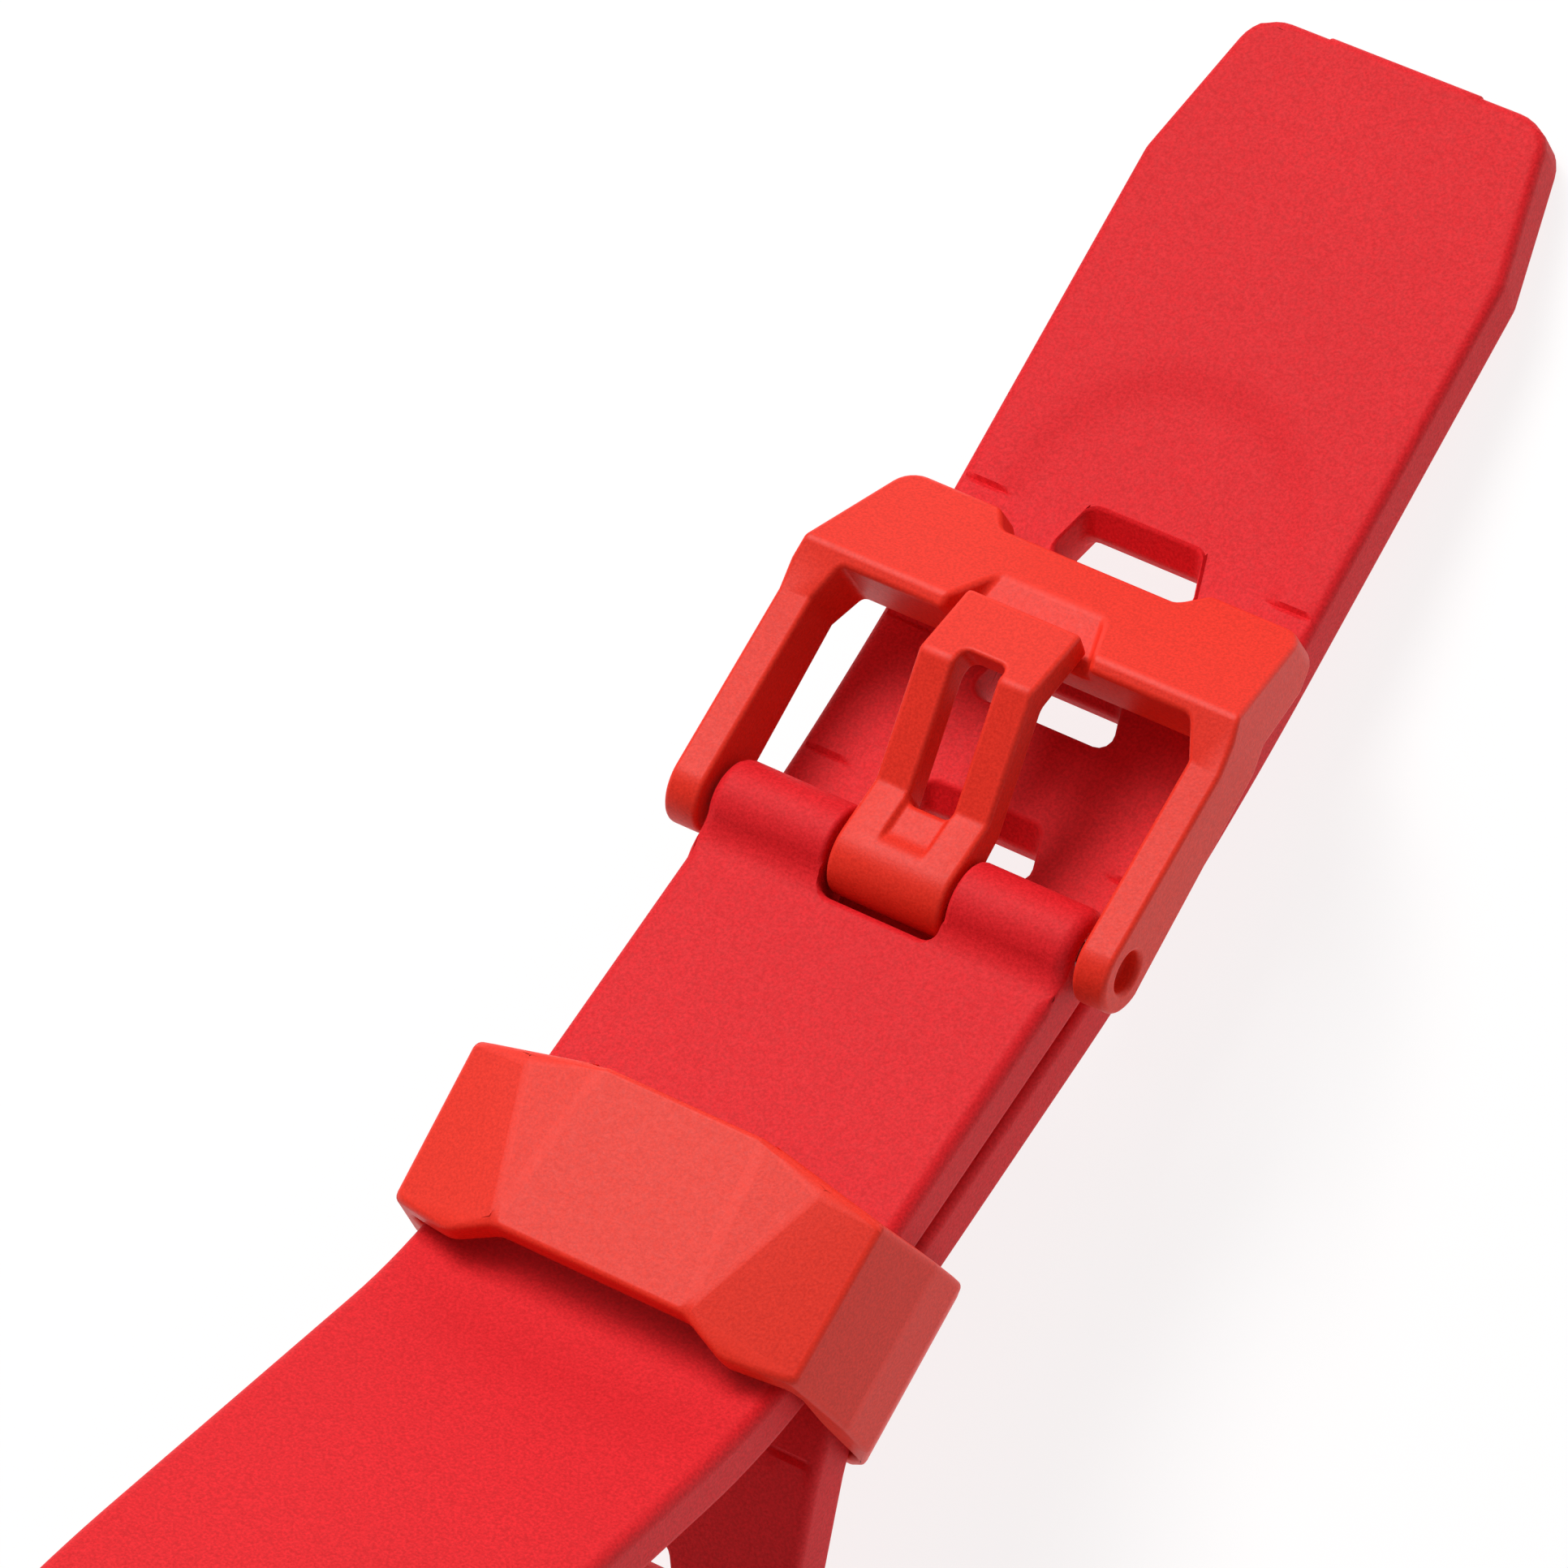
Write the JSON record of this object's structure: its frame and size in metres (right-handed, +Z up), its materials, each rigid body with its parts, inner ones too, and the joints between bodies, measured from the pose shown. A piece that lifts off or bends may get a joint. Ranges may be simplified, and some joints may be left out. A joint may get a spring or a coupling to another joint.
{
  "type": "watch strap",
  "caption": "Two-piece moulded watch strap: slotted long half, short half with pin buckle, tang, keeper loop and spring bars, laid open in an arch.",
  "frame": {"origin": "middle of the footprint box, on the surface the strap lies on", "axes": "+Z up, +X across the strap, +Y along the strap towards the free tip of the long half"},
  "size_m": [0.0268, 0.1204, 0.0575],
  "materials": {
    "strap_rubber": "fine matte moulded polyurethane",
    "buckle_polymer": "satin moulded",
    "bar_steel": "satin"
  },
  "bodies": {
    "long_half": {"strap_hole_half": "strap_rubber", "lower_bar_tube": "bar_steel", "lower_bar_spring": "bar_steel"},
    "keeper": {"keeper_loop": "buckle_polymer"},
    "short_half": {"strap_buckle_half": "strap_rubber", "upper_bar_tube": "bar_steel", "upper_bar_spring": "bar_steel", "buckle_bar_tube": "bar_steel", "buckle_bar_spring": "bar_steel"},
    "frame": {"buckle_frame": "buckle_polymer"},
    "tang": {"buckle_tang": "buckle_polymer"},
    "buckle_plunger_left": {"buckle_bar_plunger_left": "bar_steel"},
    "buckle_plunger_right": {"buckle_bar_plunger_right": "bar_steel"},
    "upper_plunger_left": {"upper_bar_plunger_left": "bar_steel"},
    "upper_plunger_right": {"upper_bar_plunger_right": "bar_steel"},
    "lower_plunger_left": {"lower_bar_plunger_left": "bar_steel"},
    "lower_plunger_right": {"lower_bar_plunger_right": "bar_steel"}
  },
  "joints": [
    {"name": "keeper_slide", "type": "slide", "parent": "long_half", "child": "keeper", "axis": [0, 0.9397, -0.342], "range_m": [0, 0.004]},
    {"name": "short_half_slide", "type": "slide", "parent": "long_half", "child": "short_half", "axis": [0, -0.9397, 0.342], "range_m": [0, 0.003]},
    {"name": "buckle_frame_hinge", "type": "hinge", "parent": "short_half", "child": "frame", "pos_m": [0, 0.0094, 0.01565], "axis": [1, 0, 0], "range_deg": [0, 65]},
    {"name": "buckle_tang_hinge", "type": "hinge", "parent": "frame", "child": "tang", "pos_m": [0, 0.0094, 0.01565], "axis": [1, 0, 0], "range_deg": [0, 55]},
    {"name": "buckle_plunger_left_press", "type": "slide", "parent": "short_half", "child": "buckle_plunger_left", "axis": [1, 0, 0], "range_m": [0, 0.0012], "stiffness_N_per_m": 800, "springref_m": -0.001, "deforming": ["buckle_bar_spring"]},
    {"name": "buckle_plunger_right_press", "type": "slide", "parent": "short_half", "child": "buckle_plunger_right", "axis": [-1, 0, 0], "range_m": [0, 0.0012], "stiffness_N_per_m": 800, "springref_m": -0.001, "deforming": ["buckle_bar_spring"]},
    {"name": "upper_plunger_left_press", "type": "slide", "parent": "short_half", "child": "upper_plunger_left", "axis": [1, 0, 0], "range_m": [0, 0.0012], "stiffness_N_per_m": 800, "springref_m": -0.001, "deforming": ["upper_bar_spring"]},
    {"name": "upper_plunger_right_press", "type": "slide", "parent": "short_half", "child": "upper_plunger_right", "axis": [-1, 0, 0], "range_m": [0, 0.0012], "stiffness_N_per_m": 800, "springref_m": -0.001, "deforming": ["upper_bar_spring"]},
    {"name": "lower_plunger_left_press", "type": "slide", "parent": "long_half", "child": "lower_plunger_left", "axis": [1, 0, 0], "range_m": [0, 0.0012], "stiffness_N_per_m": 800, "springref_m": -0.001, "deforming": ["lower_bar_spring"]},
    {"name": "lower_plunger_right_press", "type": "slide", "parent": "long_half", "child": "lower_plunger_right", "axis": [-1, 0, 0], "range_m": [0, 0.0012], "stiffness_N_per_m": 800, "springref_m": -0.001, "deforming": ["lower_bar_spring"]}
  ]
}
